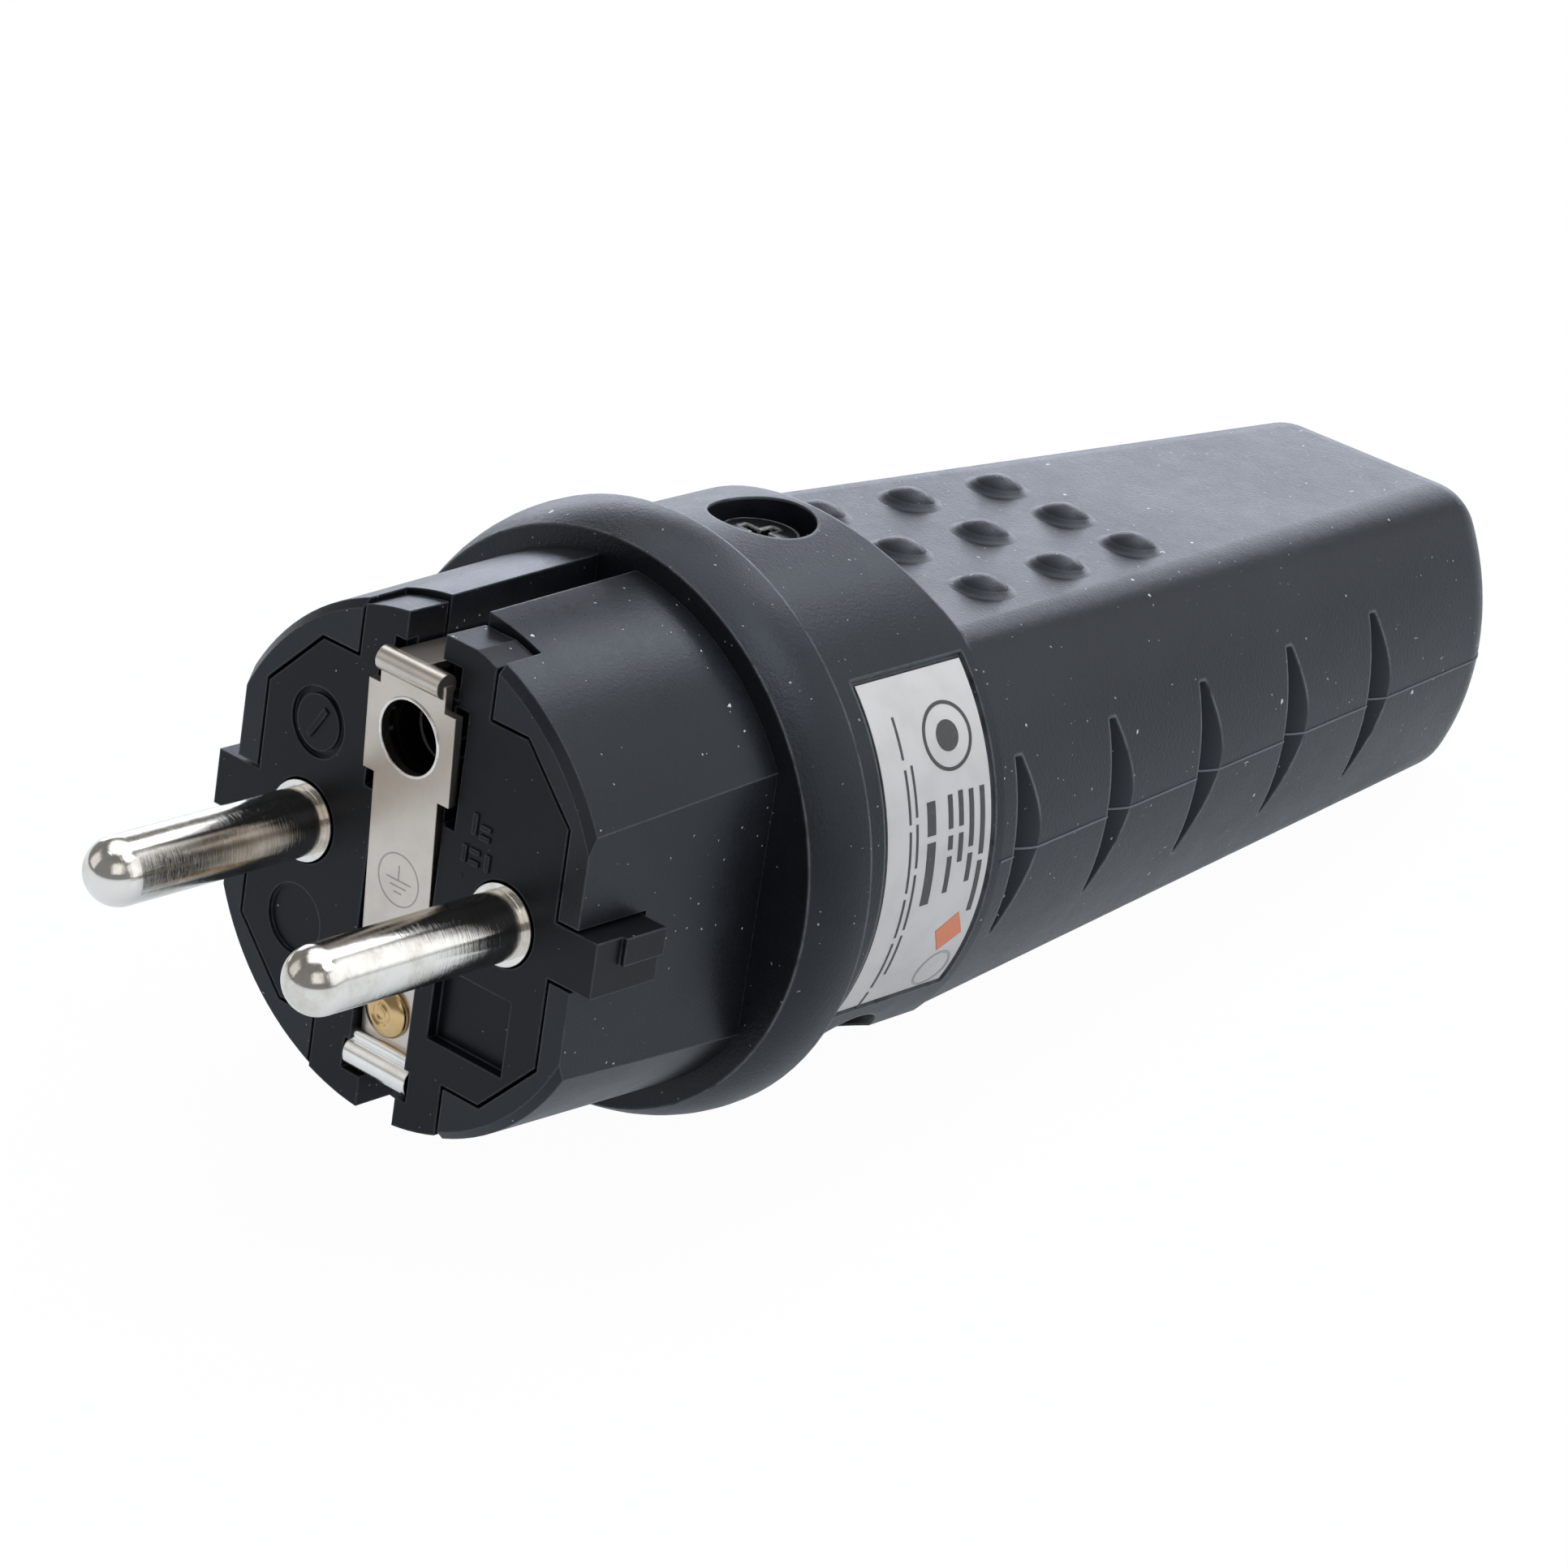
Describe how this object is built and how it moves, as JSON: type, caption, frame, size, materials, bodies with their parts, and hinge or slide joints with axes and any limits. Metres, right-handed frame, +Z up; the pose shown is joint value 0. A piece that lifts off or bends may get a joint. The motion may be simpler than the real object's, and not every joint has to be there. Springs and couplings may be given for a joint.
{
  "type": "earthed mains plug",
  "caption": "Rewirable rubber mains plug with round pins, a face-mounted earth strip, a screwed-on housing and a tapered grip with studs and finger grooves.",
  "frame": {"origin": "on the table under the middle of the overall box, as the plug rests on its flange and the heel of its grip", "axes": "+Y from the pins towards the cable entry, +Z up, +X to the right when facing the pins"},
  "size_m": [0.0434, 0.1252, 0.0432],
  "materials": {
    "rubber": "matt moulded rubber, a little greyer on the upper panel",
    "insert_plastic": "satin black moulded insulation",
    "nickel": "bright nickel plate with fine turning marks",
    "strip_metal": "satin nickel plate",
    "brass": "plain brass",
    "screw_steel": "zinc-plated steel",
    "screw_black": "black finished steel, worn bright on the cross edges",
    "label_foil": "silver foil sticker"
  },
  "bodies": {
    "root": {"grip_housing": "rubber", "front_shell": "insert_plastic", "contact_carrier": "insert_plastic", "pin_left": "nickel", "pin_right": "nickel", "earth_strip": "strip_metal", "earth_pin_contact": "strip_metal", "earth_rivet": "brass", "earth_terminal": "brass", "terminal_screw_left": "screw_steel", "terminal_screw_right": "screw_steel", "earth_terminal_screw": "screw_steel", "clamp_bar": "insert_plastic", "clamp_screw_left": "screw_steel", "clamp_screw_right": "screw_steel", "housing_screw_top": "screw_black", "housing_screw_right": "screw_black", "housing_screw_left": "screw_black", "rating_label": "label_foil"}
  },
  "joints": []
}
